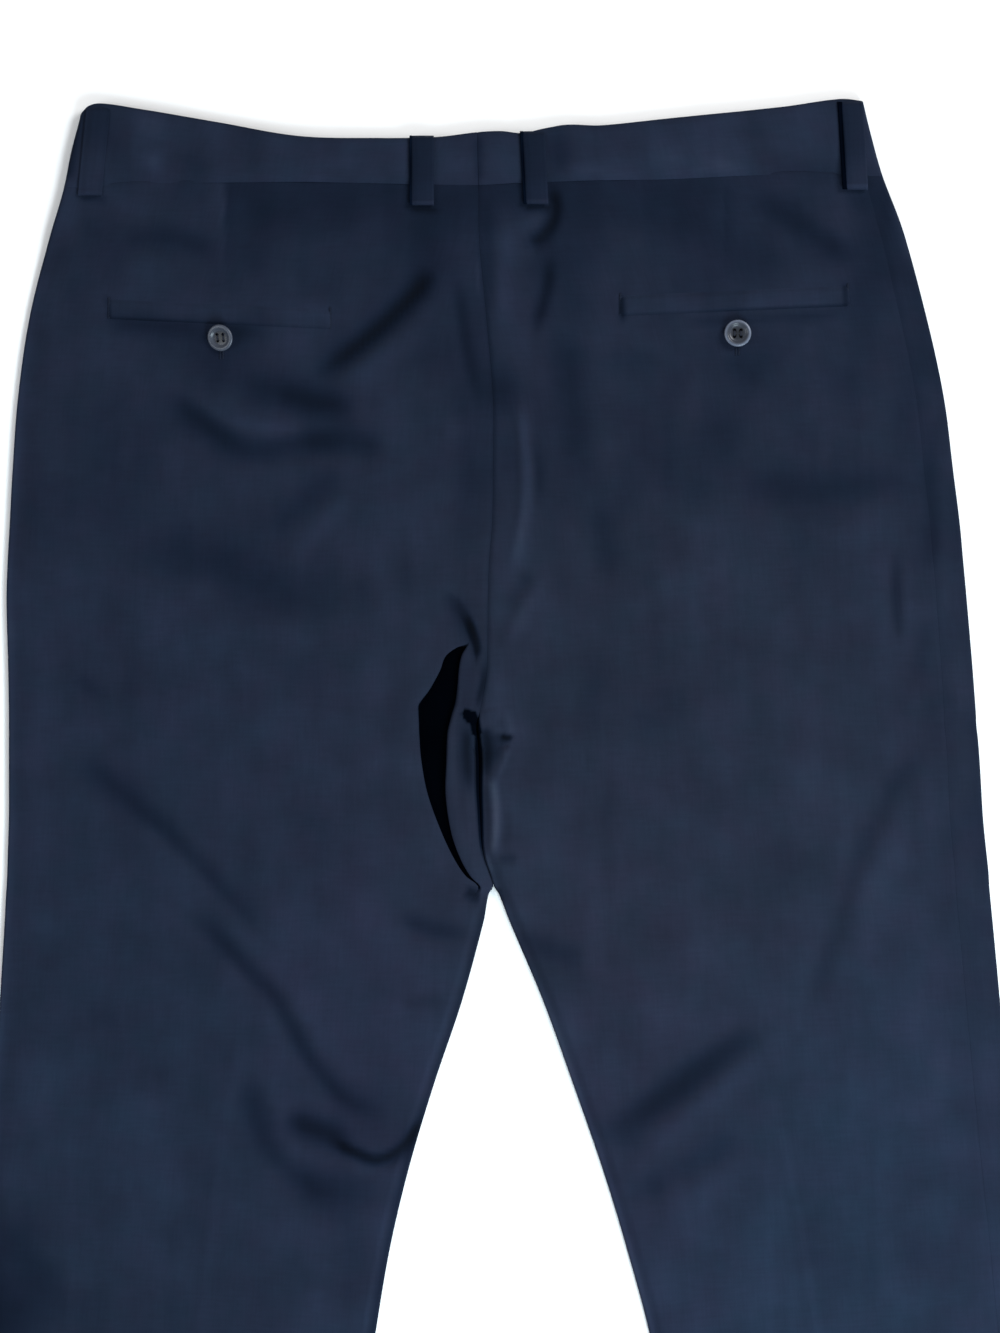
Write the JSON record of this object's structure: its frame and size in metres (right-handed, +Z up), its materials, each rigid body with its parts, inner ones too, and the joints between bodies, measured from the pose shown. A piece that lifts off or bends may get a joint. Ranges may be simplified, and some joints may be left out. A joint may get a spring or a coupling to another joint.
{
  "type": "dress trousers laid flat",
  "caption": "Dress trousers laid flat, seat side up: legs apart, waistband with belt loops, welt back pockets with buttons, soft drag folds.",
  "frame": {"origin": "centre of the bounding box, at the level of the surface that the garment lies on", "axes": "+Z up, away from the surface; +Y along the garment towards the waist; +X to the wearer's right, seen from the seat side"},
  "size_m": [0.7096, 1.1034, 0.0119],
  "materials": {
    "suiting": "matt fine worsted",
    "button": "polished resin",
    "zip": "woven tape"
  },
  "bodies": {
    "root": {"back_left": "suiting", "back_right": "suiting", "front_left": "suiting", "front_right": "suiting", "waistband_left": "suiting", "waistband_right": "suiting", "loop_back_left": "suiting", "loop_back_right": "suiting", "loop_side_left": "suiting", "loop_side_right": "suiting", "loop_front_left": "suiting", "loop_front_right": "suiting", "welt_left": "suiting", "welt_right": "suiting", "button_left": "button", "button_right": "button", "fly_shield": "suiting", "zip": "zip"}
  },
  "joints": []
}
